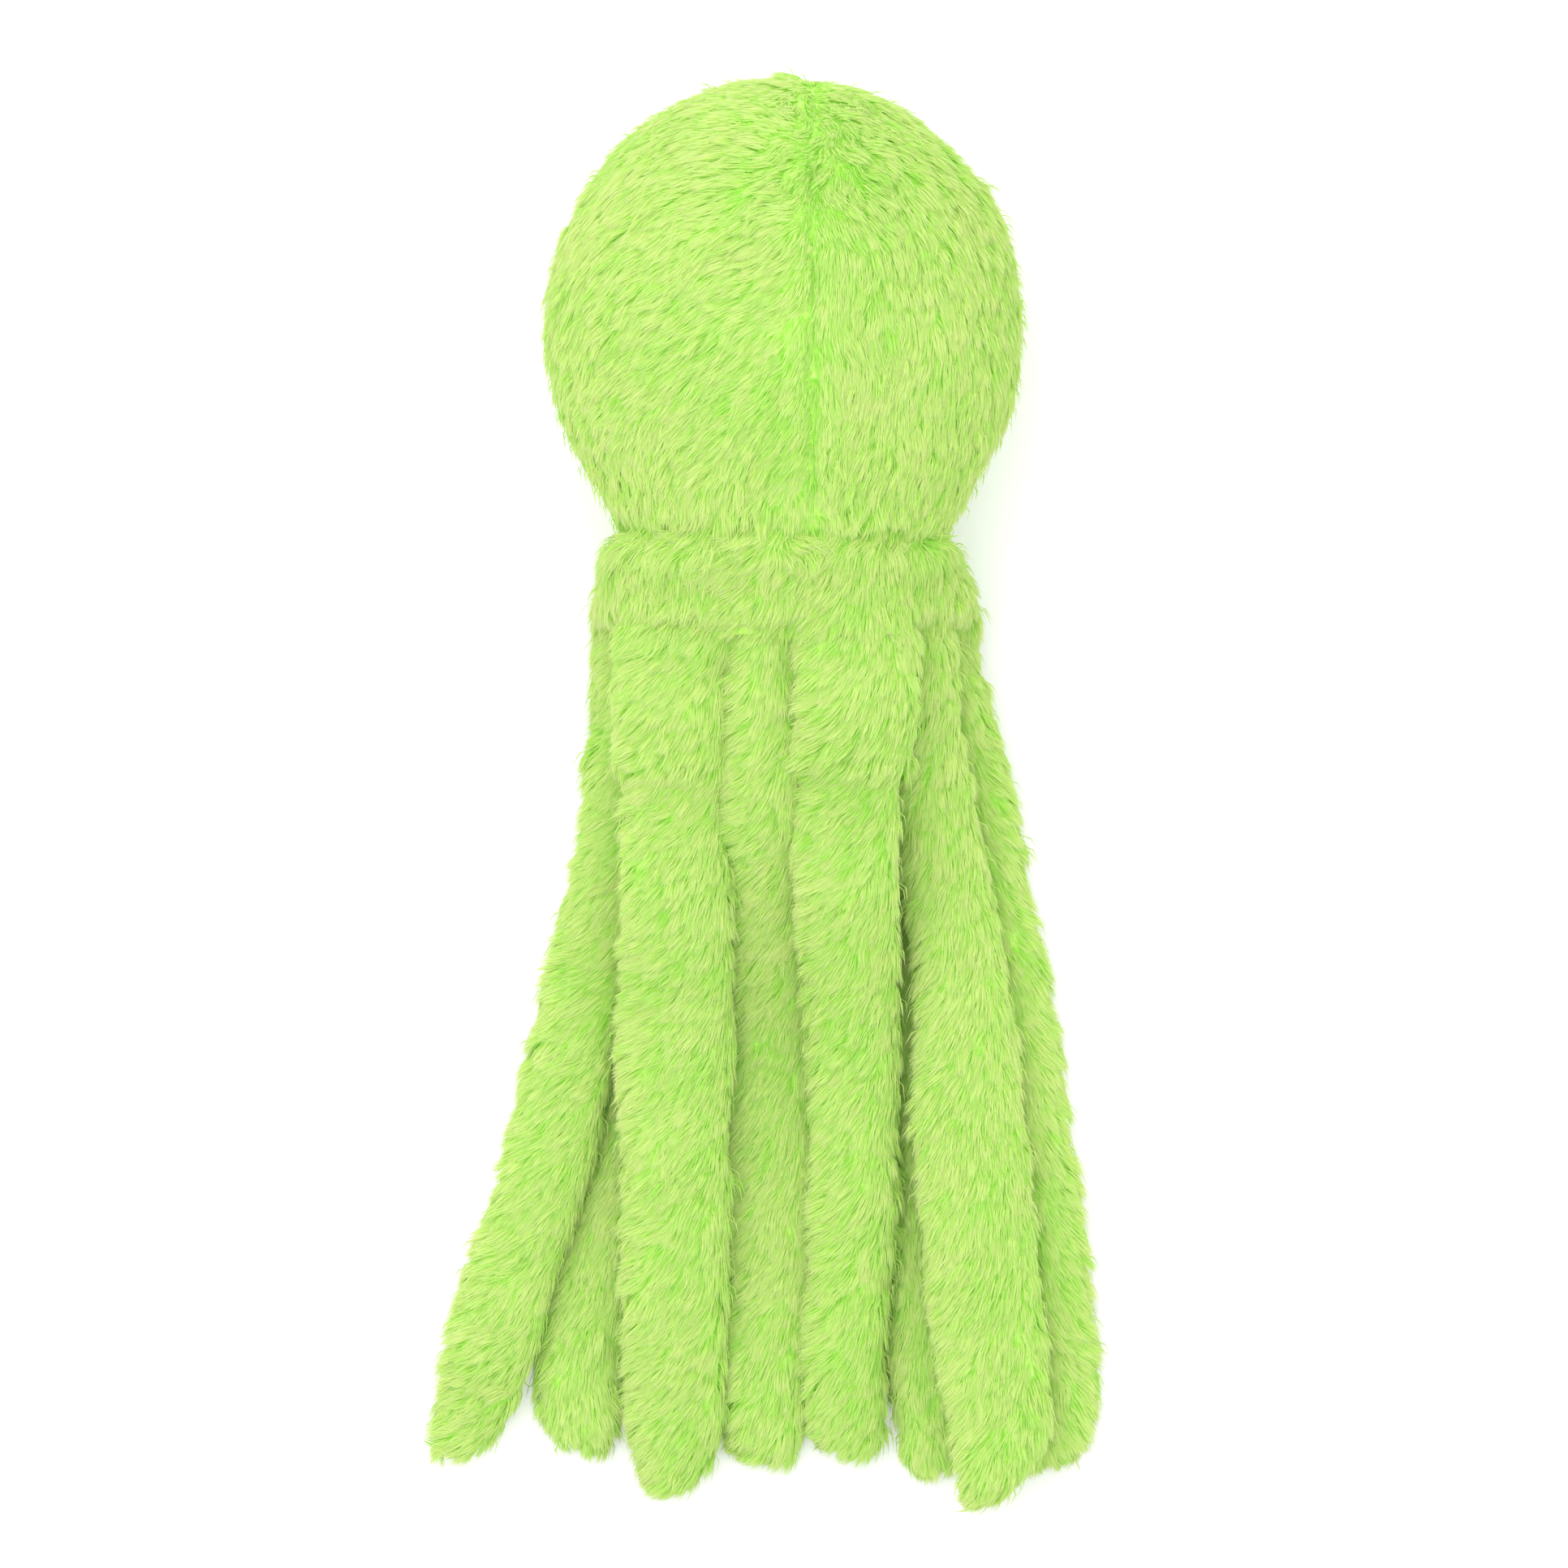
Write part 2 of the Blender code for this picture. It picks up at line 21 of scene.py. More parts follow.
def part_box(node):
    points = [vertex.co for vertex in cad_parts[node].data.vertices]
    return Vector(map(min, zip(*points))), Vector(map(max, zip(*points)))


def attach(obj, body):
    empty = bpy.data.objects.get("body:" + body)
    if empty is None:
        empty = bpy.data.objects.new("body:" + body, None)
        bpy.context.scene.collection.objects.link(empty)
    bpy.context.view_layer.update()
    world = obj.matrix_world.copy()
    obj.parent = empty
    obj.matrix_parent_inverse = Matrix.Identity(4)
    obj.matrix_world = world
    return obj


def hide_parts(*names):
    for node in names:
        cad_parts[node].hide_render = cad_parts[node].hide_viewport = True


MM = 0.001
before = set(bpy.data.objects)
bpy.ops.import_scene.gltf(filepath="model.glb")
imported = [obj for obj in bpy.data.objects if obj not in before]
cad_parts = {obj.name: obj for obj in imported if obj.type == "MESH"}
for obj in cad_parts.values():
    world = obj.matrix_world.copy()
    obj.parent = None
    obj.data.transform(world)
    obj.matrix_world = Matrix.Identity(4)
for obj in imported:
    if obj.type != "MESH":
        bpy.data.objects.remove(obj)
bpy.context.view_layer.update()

TENTACLES = sorted(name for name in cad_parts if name.startswith("tentacle_"))
HEAD_PANELS = ("head_back_left", "head_back_right", "head_front")
SKIRT_PANELS = ("skirt_left", "skirt_right")

# %% [markdown]
# ## The camera
#
# The toy lies face down and is seen from straight above, as a flat photograph of it would be. A
# very long lens keeps the head, which is higher, from looking larger than the tentacles.

# %% Camera above the toy
LENS = 300.0
SENSOR = 36.0
VIEW_HEIGHT = 436.6 * MM    # what the square picture shows at the height of the pile
VIEW_MIDDLE = Vector((-0.7 * MM, -131.2 * MM, 30 * MM))
FAR_END = 20                # metres, well past the floor

camera_data = bpy.data.cameras.new("camera")
camera_data.lens = LENS
camera_data.sensor_width = SENSOR
camera_data.clip_end = FAR_END
camera = bpy.data.objects.new("camera", camera_data)
camera.location = VIEW_MIDDLE + Vector((0, 0, VIEW_HEIGHT * LENS / SENSOR))
bpy.context.scene.collection.objects.link(camera)
bpy.context.scene.camera = camera
print("camera height in mm", round(camera.location.z / MM))

# %% [markdown]
# ## Shader maths as Python
#
# A material is a graph of nodes. The nodes could be added and linked one by one, but a sum of
# three terms is then ten lines long. Wrapping a socket in a small class lets an expression such
# as `fine * 0.7 + broad * 0.3` add its own Math nodes, so a finish reads like the sum that it is.

# %% A socket that does sums
class Wire:
    """A socket of a material's tree. Sums on it add Math nodes."""

    def __init__(self, tree, socket):
        self.tree = tree
        self.socket = socket

    @staticmethod
    def node(tree, kind, settings=None, **values):
        """Adds a node, sets it up, and fills its sockets with numbers, colours or links."""
        made = tree.nodes.new(kind)
        for name, value in (settings or {}).items():
            setattr(made, name, value)
        for name, value in values.items():
            key = int(name[1:]) if name[0] == "i" and name[1:].isdigit() else name.replace("_", " ")
            if isinstance(value, Wire):
                tree.links.new(value.socket, made.inputs[key])
            else:
                made.inputs[key].default_value = value
        return made

    def sum(self, operation, a, b):
        made = Wire.node(self.tree, "ShaderNodeMath", {"operation": operation}, i0=a, i1=b)
        return Wire(self.tree, made.outputs[0])

    def __add__(self, other):
        return self.sum("ADD", self, other)

    def __radd__(self, other):
        return self.sum("ADD", other, self)

    def __mul__(self, other):
        return self.sum("MULTIPLY", self, other)

    def __rmul__(self, other):
        return self.sum("MULTIPLY", other, self)


def new_material(name, roughness):
    """A material with its Principled shader, and its tree."""
    made = bpy.data.materials.new(name)
    made.use_nodes = True
    shader = made.node_tree.nodes["Principled BSDF"]
    shader.inputs["Roughness"].default_value = roughness
    return made, made.node_tree, shader


def ramp(tree, factor, stops):
    """A colour ramp read at factor. stops are (place, colour)."""
    made = Wire.node(tree, "ShaderNodeValToRGB", i0=factor)
    elements = made.color_ramp.elements
    while len(elements) < len(stops):
        elements.new(0.5)
    for element, (place, colour) in zip(elements, stops):
        element.position = place
        element.color = (*colour, 1)
    return Wire(tree, made.outputs[0])


def multiplied(tree, a, b):
    """Two colours multiplied."""
    settings = {"data_type": "RGBA", "blend_type": "MULTIPLY"}
    made = Wire.node(tree, "ShaderNodeMix", settings, i0=1.0, i6=a, i7=b)
    return Wire(tree, made.outputs[2])

# %% [markdown]
# ## The pile's colour
#
# Dyed pile is deep green where it leaves the cloth, because light there has passed many fibres,
# and pale yellow-lime at its tips. A picture of fur on a smooth ball would look flat, so the
# fibres here are real shapes, and each carries its own place on a small map: u is its shade, v
# is how far along it we are. One material reads that map for the whole toy. A thin fibre also
# lets light through, which keeps the shadows between the locks green.

# %% Pile material
ROOT_GREEN = (0.48, 0.965, 0.10)
MIDDLE_LIME = (0.815, 0.972, 0.345)
TIP_LIME = (0.935, 0.975, 0.55)
SHEEN_LIME = (0.85, 1.0, 0.55)
GREENER = (0.68, 0.97, 0.44)        # what the darkest fibres' colour is multiplied by
USUAL = (0.96, 0.99, 0.90)
PALEST = (1.0, 1.0, 1.0)
SHEEN = 0.35
THROUGH = 0.45                      # the share of light that passes through a fibre


def make_pile_material():
    material, tree, shader = new_material("plush_pile", 0.62)
    place = Wire.node(tree, "ShaderNodeUVMap", {"uv_map": "OFBake"})
    split = Wire.node(tree, "ShaderNodeSeparateXYZ", i0=Wire(tree, place.outputs[0]))
    shade, height = Wire(tree, split.outputs[0]), Wire(tree, split.outputs[1])
    along = ramp(tree, height, [(0.0, ROOT_GREEN), (0.45, MIDDLE_LIME), (1.0, TIP_LIME)])
    light = ramp(tree, shade, [(0.0, GREENER), (0.5, USUAL), (1.0, PALEST)])
    colour = multiplied(tree, along, light)
    tree.links.new(colour.socket, shader.inputs["Base Color"])
    shader.inputs["Sheen Weight"].default_value = SHEEN
    shader.inputs["Sheen Tint"].default_value = (*SHEEN_LIME, 1)
    shader.inputs["Sheen Roughness"].default_value = 0.5
    shader.inputs["Specular IOR Level"].default_value = 0.25
    through = Wire.node(tree, "ShaderNodeBsdfTranslucent", Color=colour)
    both = Wire.node(tree, "ShaderNodeMixShader", Fac=THROUGH, i1=Wire(tree, shader.outputs[0]),
                     i2=Wire(tree, through.outputs[0]))
    tree.links.new(both.outputs[0], tree.nodes["Material Output"].inputs["Surface"])
    return material


def make_cloth_material():
    """The knitted backing between the fibres: deep green, rough with the roots of the pile."""
    material, tree, shader = new_material("plush_backing", 0.9)
    where = Wire.node(tree, "ShaderNodeTexCoord")
    place = Wire(tree, where.outputs["Object"])
    fine = Wire(tree, Wire.node(tree, "ShaderNodeTexNoise", Vector=place, Scale=900.0, Detail=3.0).outputs[0])
    broad = Wire(tree, Wire.node(tree, "ShaderNodeTexNoise", Vector=place, Scale=90.0, Detail=2.0).outputs[0])
    colour = ramp(tree, fine * 0.7 + broad * 0.3, [(0.3, ROOT_GREEN), (0.7, MIDDLE_LIME)])
    tree.links.new(colour.socket, shader.inputs["Base Color"])
    bump = Wire.node(tree, "ShaderNodeBump", Height=fine, Distance=0.6 * MM, Strength=0.8)
    tree.links.new(bump.outputs[0], shader.inputs["Normal"])
    return material


pile_material = make_pile_material()
cloth_material = make_cloth_material()
print("materials", pile_material.name, "and", cloth_material.name)

# %% [markdown]
# ## Soft unevenness
#
# Stuffed cloth and combed pile are never quite even. Plain random numbers would make every
# fibre differ from the next one, but on a real toy the unevenness comes in soft patches. A value
# noise gives such hills over space: each corner of a grid gets a fixed random value, and a point
# between the corners gets a smooth mix of them.

# %% Smooth random values
def lattice(cells, seed):
    """A fixed random value from -1 to 1 for each cell of a grid, its bits stirred by big primes."""
    mixed_up = cells[..., 0] * 73856093 ^ cells[..., 1] * 19349663 ^ cells[..., 2] * 83492791
    mixed_up = mixed_up ^ seed * 2654435761
    mixed_up = (mixed_up ^ (mixed_up >> 13)) * 1274126177
    return ((mixed_up ^ (mixed_up >> 16)) & 0xFFFF) / 32767.5 - 1


def wander(points, size, seed):
    """Soft random hills of a given size over space, about -1 to 1."""
    at = points / size
    cell = np.floor(at).astype(np.int64)
    part = at - cell
    part = part * part * (3 - 2 * part)
    total = np.zeros(len(points))
    for corner in np.ndindex(2, 2, 2):
        corner = np.array(corner)
        weight = np.prod(np.where(corner == 1, part, 1 - part), axis=1)
        total += weight * lattice(cell + corner, seed)
    return total


def unit(vectors):
    return vectors / np.maximum(np.linalg.norm(vectors, axis=1, keepdims=True), 1e-12)


def along_surface(vectors, normals):
    return unit(vectors - normals * np.sum(vectors * normals, axis=1, keepdims=True))

# %% [markdown]
# ## Cloth under the pile
#
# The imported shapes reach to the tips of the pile, so the cloth lies inside them. Its mesh has to
# be even, because the pile is planted by area and combed by the cloth's normals, and a packed
# shape's triangles are long and thin. So the shapes are rebuilt with faces of one size, smoothed
# as stuffing smooths cloth, and drawn in by the depth of the pile.

# %% Helpers for cloth
PILE_DEPTH = 2.0 * MM       # how deep the cloth lies below the tips
FINE = 2.8 * MM             # the side of one face of a tentacle's cloth
CAST_FINE = 2.2 * MM        # the same on the surfaces that rays are cast at
CAST_FROM = 0.3             # metres from the toy's middle, where those rays start
SMOOTHINGS = 4
CLOTH_CLEAR = 0.6 * MM      # the least height of cloth above the floor


def finish_piece(bm, name, material):
    """Writes a bmesh to a smooth-shaded object that rides with the toy."""
    mesh = bpy.data.meshes.new(name)
    bmesh.ops.recalc_face_normals(bm, faces=bm.faces)
    bm.to_mesh(mesh)
    bm.free()
    mesh.shade_smooth()
    mesh.materials.append(material)
    made = bpy.data.objects.new(name, mesh)
    bpy.context.scene.collection.objects.link(made)
    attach(made, "root")
    return made


def evened(bm, size):
    """The closed shape of a bmesh, rebuilt with faces of one size."""
    mesh = bpy.data.meshes.new("to_even")
    bm.to_mesh(mesh)
    bm.free()
    holder = bpy.data.objects.new("to_even", mesh)
    bpy.context.scene.collection.objects.link(holder)
    remesh = holder.modifiers.new("even", "REMESH")
    remesh.mode = "VOXEL"
    remesh.voxel_size = size
    graph = bpy.context.evaluated_depsgraph_get()
    graph.update()
    out = bmesh.new()
    out.from_mesh(holder.evaluated_get(graph).to_mesh())
    bpy.data.objects.remove(holder)
    bpy.data.meshes.remove(mesh)
    return out


def draw_in(bm, depth_at):
    """Moves every point inwards, square to the surface, by a depth that may change over the toy."""
    bm.normal_update()
    moves = [vert.normal * depth_at(vert.co) for vert in bm.verts]
    for vert, move in zip(bm.verts, moves):
        vert.co -= move


def smooth(bm, along_y=True):
    """Evens a mesh out, as stuffing does."""
    for _ in range(SMOOTHINGS):
        bmesh.ops.smooth_vert(bm, verts=bm.verts, factor=0.5, use_axis_x=True, use_axis_y=along_y,
                              use_axis_z=True)


def keep_off_floor(bm):
    for vert in bm.verts:
        vert.co.z = max(vert.co.z, CLOTH_CLEAR)


def eased(value, start, end):
    """0 at start and 1 at end, level at both."""
    t = min(max((value - start) / (end - start), 0), 1)
    return t * t * (3 - 2 * t)


def packed_shape(*nodes):
    """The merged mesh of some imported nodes."""
    bm = bmesh.new()
    for name in nodes:
        bm.from_mesh(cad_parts[name].data)
    bmesh.ops.remove_doubles(bm, verts=bm.verts, dist=0.001 * MM)
    return bm

# %% [markdown]
# ## The tentacles
#
# Each tentacle is a stuffed tube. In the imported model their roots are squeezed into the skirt,
# so their cloth swells out again below it. The three that lie under the others are made a
# little fuller, because soft tubes press into the room that their neighbours leave, and the
# middle one spreads between the two beside it.

# %% Tentacle cloth
NECK_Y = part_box("skirt_left")[1][1]
RIM_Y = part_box("skirt_left")[0][1]
ROOT_SQUEEZE = 3.4 * MM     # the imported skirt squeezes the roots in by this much
SWELL_LENGTH = 8.0 * MM     # and below it they swell out again over this length
MIDDLE_FILL = 1.8 * MM      # how far the middle tentacle's cloth is pressed out
MIDDLE_WIDEN = 0.44         # and the share by which it widens
MIDDLE_X = -5.6 * MM        # about this line
MIDDLE_LOW = (-320 * MM, -280 * MM)     # it fills out from its tip over this stretch
MIDDLE_HIGH = (-165 * MM, -130 * MM)    # and fully over this one
LOWER = ("tentacle_2", "tentacle_4", "tentacle_6")      # they lie under and between the others
LOWER_FILL = 1.5 * MM       # so their cloth is fuller, and no floor shows beside them
EDGE_DEPTH = 1.3 * MM       # the cloth lies deeper still where the pile stands out most


def tentacle_depth(place):
    """The cloth has its full width from where it leaves the skirt."""
    return PILE_DEPTH - ROOT_SQUEEZE * eased(place.y, RIM_Y - SWELL_LENGTH, RIM_Y)


def fill_room(bm):
    """Presses the middle tentacle out to its neighbours, most of all its upper part."""
    for vert in bm.verts:
        share = 0.7 * eased(vert.co.y, *MIDDLE_LOW) + 0.3 * eased(vert.co.y, *MIDDLE_HIGH)
        vert.co += vert.normal * (MIDDLE_FILL * share)
        vert.co.x += (vert.co.x - MIDDLE_X) * MIDDLE_WIDEN * share


def sink_edges(bm, depth):
    """Lowers the cloth where it is seen side-on."""
    for vert in bm.verts:
        vert.co -= vert.normal * (depth * (1 - abs(vert.normal.z)) ** 2)


def make_tentacle_cloth(name):
    bm = evened(packed_shape(name), FINE)
    smooth(bm)
    draw_in(bm, tentacle_depth)
    sink_edges(bm, -LOWER_FILL if name in LOWER else EDGE_DEPTH / 2)
    if name == "tentacle_4":
        fill_room(bm)
    keep_off_floor(bm)
    made = finish_piece(bm, name + "_cloth", cloth_material)
    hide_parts(name)
    return made


cloth = {name: make_tentacle_cloth(name) for name in TENTACLES}
print("tentacle cloth faces", sum(len(piece.data.polygons) for piece in cloth.values()))

# %% [markdown]
# ## The head
#
# The head's three panels meet at a seam down the back and two at the sides. Stuffing rounds them
# into one ball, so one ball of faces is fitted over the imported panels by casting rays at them.
# Rebuilding each panel by itself would leave a step at every seam. The cloth then sinks a
# little along the back seam, where the thread pulls it in.

# %% Head cloth
SEAM_DEPTH = 2.4 * MM       # how far the thread pulls the cloth in
SEAM_REACH = 2.4 * MM       # and how far to each side
SEAM_END = (NECK_Y + 4 * MM, NECK_Y + 14 * MM)      # it levels out here, over the wad in the neck
LUMP_SIZE = 24 * MM         # the stuffing's soft lumps
LUMP_HEIGHT = 0.9 * MM
back_seam_x = (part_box("head_back_left")[1][0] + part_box("head_back_right")[0][0]) / 2
head_low = Vector(map(min, *[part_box(name)[0] for name in HEAD_PANELS]))
head_high = Vector(map(max, *[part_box(name)[1] for name in HEAD_PANELS]))
head_middle = (head_low + head_high) / 2
print("back seam at x", round(back_seam_x / MM, 1), "mm")


def closed_shape(*nodes):
    """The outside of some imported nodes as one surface, with the gaps at their seams closed."""
    bm = evened(packed_shape(*nodes), CAST_FINE)
    made = BVHTree.FromBMesh(bm)
    bm.free()
    return made


def make_head_cloth():
    packed = closed_shape(*HEAD_PANELS, "neck_stuffing")
    bm = bmesh.new()
    bmesh.ops.create_icosphere(bm, subdivisions=6, radius=1)
    for vert in bm.verts:
        out = vert.co.normalized()
        vert.co = packed.ray_cast(head_middle + out * CAST_FROM, -out)[0]
    smooth(bm)
    draw_in(bm, lambda place: PILE_DEPTH)
    sink_edges(bm, EDGE_DEPTH)
    bulge = wander(np.array([vert.co for vert in bm.verts]), LUMP_SIZE, 3) * LUMP_HEIGHT
    for vert, height in zip(bm.verts, bulge):
        vert.co += vert.normal * float(height)
        if vert.co.z > head_middle.z:
            off = (vert.co.x - back_seam_x) / SEAM_REACH
            vert.co.z -= SEAM_DEPTH * math.exp(-off * off) * eased(vert.co.y, *SEAM_END)
    keep_off_floor(bm)
    made = finish_piece(bm, "head_cloth", cloth_material)
    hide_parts(*HEAD_PANELS)
    return made


cloth["head"] = make_head_cloth()
print("head cloth faces", len(cloth["head"].data.polygons))

# %% [markdown]
# ## The skirt
#
# The skirt is a sleeve from the neck to the roots of the tentacles. A flat grid is wrapped round
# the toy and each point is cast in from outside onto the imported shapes, so the sleeve runs on
# smoothly from the head. It sinks at the neck, where the thread draws it tight. Towards the rim
# it sinks under the cloth of the roots and into the grooves between them, so its edge is hidden
# where they come out.

# %% Skirt cloth
SKIRT_SIDES = 140
SKIRT_ROWS = 22
TUCK = 7.0 * MM             # how far the sleeve runs on under the head's cloth
TUCK_DEPTH = 0.8 * MM
NECK_PULL = 2.4 * MM
NECK_PULL_REACH = 2.5 * MM
GATHER = 2.6 * MM           # how far the thread's pull still draws its sides in halfway down
RIGHT_PULL = 2.6 * MM       # and how much more at the right of the neck
GROOVE_DEPTH = 9.0 * MM     # the deepest that it sinks between two roots
ROOT_COVER = -0.8 * MM      # its rim ends this far under the cloth of the roots, out of sight
WAD_CLEAR = 1.2 * MM        # how far it stays off the wad of fibre in the neck
SKIRT_SEAM_X = (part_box("skirt_left")[1][0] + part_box("skirt_right")[0][0]) / 2
SKIRT_SEAM_DEPTH = 2.4 * MM
SKIRT_SEAM_REACH = 1.6 * MM
AIM_TOP = 55 * MM           # the height at which rays are aimed at the neck
AIM_DROP = 20 * MM          # and how much lower they are aimed at the rim
SINK_FROM = 0.42            # how far down the sleeve it starts to sink onto the roots
SKIRT_THICK = 0.6 * MM


def surface_from(shape, y, z, out):
    """Where a ray from outside meets a shape, and how far it went."""
    start = Vector((head_middle.x, y, z)) + out * CAST_FROM
    hit, _, _, distance = shape.ray_cast(start, -out)
    return hit, distance or CAST_FROM


def thread_pull(x, y, angle, out):
    """How much deeper thread draws the sleeve: at the neck, at its sides and at its back seam."""
    off = (y - NECK_Y) / NECK_PULL_REACH
    depth = NECK_PULL * math.exp(-off * off)
    seam = (x - SKIRT_SEAM_X) / SKIRT_SEAM_REACH
    depth += SKIRT_SEAM_DEPTH * math.exp(-seam * seam) * (out.z > 0) * eased(NECK_Y - y, 0, 5 * MM)
    if y > NECK_Y + 1 * MM:
        depth += TUCK_DEPTH
    else:
        depth += GATHER * math.sin(math.pi * eased(y, NECK_Y, RIM_Y)) * math.cos(angle) ** 4
    off = (y - NECK_Y + 4 * MM) / (9 * MM)
    return depth + RIGHT_PULL * math.exp(-off * off) * max(out.x, 0) ** 4


def make_skirt_cloth():
    packed = closed_shape(*HEAD_PANELS, *SKIRT_PANELS, "neck_stuffing", *TENTACLES)
    roots = closed_shape(*TENTACLES)
    wad = closed_shape("neck_stuffing")
    bm = bmesh.new()
    bmesh.ops.create_grid(bm, x_segments=SKIRT_SIDES, y_segments=SKIRT_ROWS, size=0.5)
    top_y, low_y = NECK_Y + TUCK, RIM_Y + 1.0 * MM
    rim_aim = AIM_TOP - AIM_DROP
    for vert in bm.verts:
        angle = math.tau * vert.co.x
        out = Vector((math.cos(angle), 0, math.sin(angle)))
        t = 0.5 - vert.co.y
        y = top_y + (low_y - top_y) * t
        z = AIM_TOP - AIM_DROP * t
        hit, distance = surface_from(packed, y, z, out)
        rim_distance = surface_from(packed, low_y, rim_aim, out)[1]
        root_distance = surface_from(roots, RIM_Y - SWELL_LENGTH, rim_aim, out)[1]
        sink = min(max(root_distance - rim_distance, 0), GROOVE_DEPTH) - ROOT_COVER
        depth = PILE_DEPTH + sink * eased(t, SINK_FROM, 1) + thread_pull(hit.x, y, angle, out)
        room = surface_from(wad, y, z, out)[1] - distance - WAD_CLEAR
        vert.co = hit - out * (min(depth, max(room, PILE_DEPTH)) if room < CAST_FROM / 2 else depth)
    bmesh.ops.remove_doubles(bm, verts=bm.verts, dist=0.01 * MM)
    smooth(bm, along_y=False)
    keep_off_floor(bm)
    bmesh.ops.recalc_face_normals(bm, faces=bm.faces)
    bmesh.ops.solidify(bm, geom=bm.faces, thickness=SKIRT_THICK)
    made = finish_piece(bm, "skirt_cloth", cloth_material)
    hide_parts(*SKIRT_PANELS)
    return made


cloth["skirt"] = make_skirt_cloth()
print("skirt cloth faces", len(cloth["skirt"].data.polygons))

# %% [markdown]
# ## Planting the pile
#
# Each fibre is a narrow kite of two triangles, widest just below its middle. Blender's own hair
# can't be exported as a mesh, and a fibre with more faces would cost too much. Fibres near each
# other lean together into a lock, as brushed plush does, so a fibre's tip is drawn towards the
# tip of its lock. All the fibres of a panel are worked out at once with numpy, because there are
# far too many for a loop.

# %% Scatter points on cloth
def scatter(piece, per_mm2, rng):
    """Random points on a piece, with the smooth normal at each."""
    mesh = piece.data
    mesh.calc_loop_triangles()
    count = len(mesh.loop_triangles)
    corners = np.empty(count * 3, np.int32)
    areas = np.empty(count)
    mesh.loop_triangles.foreach_get("vertices", corners)
    mesh.loop_triangles.foreach_get("area", areas)
    corners = corners.reshape(-1, 3)
    places = np.empty(len(mesh.vertices) * 3)
    mesh.vertices.foreach_get("co", places)
    places = places.reshape(-1, 3)
    normals = np.empty(len(mesh.vertices) * 3)
    mesh.vertices.foreach_get("normal", normals)
    normals = normals.reshape(-1, 3)
    wanted = per_mm2(places[corners].mean(axis=1), normals[corners].mean(axis=1)) * areas / MM ** 2
    chosen = np.searchsorted(np.cumsum(wanted), rng.random(int(wanted.sum())) * wanted.sum())
    chosen = np.minimum(chosen, count - 1)
    a, b = rng.random(len(chosen)), rng.random(len(chosen))
    flip = a + b > 1
    a[flip], b[flip] = 1 - a[flip], 1 - b[flip]
    weights = np.stack([1 - a - b, a, b], 1)[:, :, None]
    return (places[corners[chosen]] * weights).sum(1), unit((normals[corners[chosen]] * weights).sum(1))


def nearest(points, centres):
    """The index of the centre nearest to each point."""
    tree = KDTree(len(centres))
    for i, centre in enumerate(centres):
        tree.insert(centre, i)
    tree.balance()
    return np.array([tree.find(point)[1] for point in points])

# %% Plant one panel
FIBRE_LENGTH = 8.0 * MM
FIBRE_WIDTH = 0.28 * MM
FIBRE_RISE = 1.9 * MM       # how high its tip stands over its foot
LOCK_SIZE = 3.0 * MM
FLOOR_CLEAR = 0.3 * MM      # the least height of a fibre above the floor
ROOT_DEPTH = 0.4 * MM       # how far a fibre starts below the cloth
STRAYS = 0.05               # the share of fibres that stand out of the pile
STRAY_RISE = 2.0            # and how many times higher they stand
LOCK_SLANT = 0.16           # how much the locks differ in their way, in radians
LOCK_DRIFT = 0.30           # and how much that way drifts from place to place
FIBRE_SLANT = 0.13          # how much the fibres of one lock differ
LOCK_PULL = 0.36            # how far a fibre's tip is drawn to the tip of its lock
LOCK_SPREAD = 0.35          # how wide a lock's tip is, as a share of its foot
LEAST_RISE = 0.2            # the flattest lock still stands up by this share of the rise
MOST_TURN = 0.35            # how far a fibre's broad side is turned at random, in radians
EDGE_WIDTH = 1.6            # fibres are this much wider where the toy is seen side-on
SKYWARD = 0.7               # how far a fibre's broad side turns to the sky, where the light is
FIBRE_SHADES = 0.26         # how much the fibres differ in shade
LOCK_SHADES = 0.13          # the same of the locks
PATCH_SHADES = 0.14         # and of patches a few centimetres wide


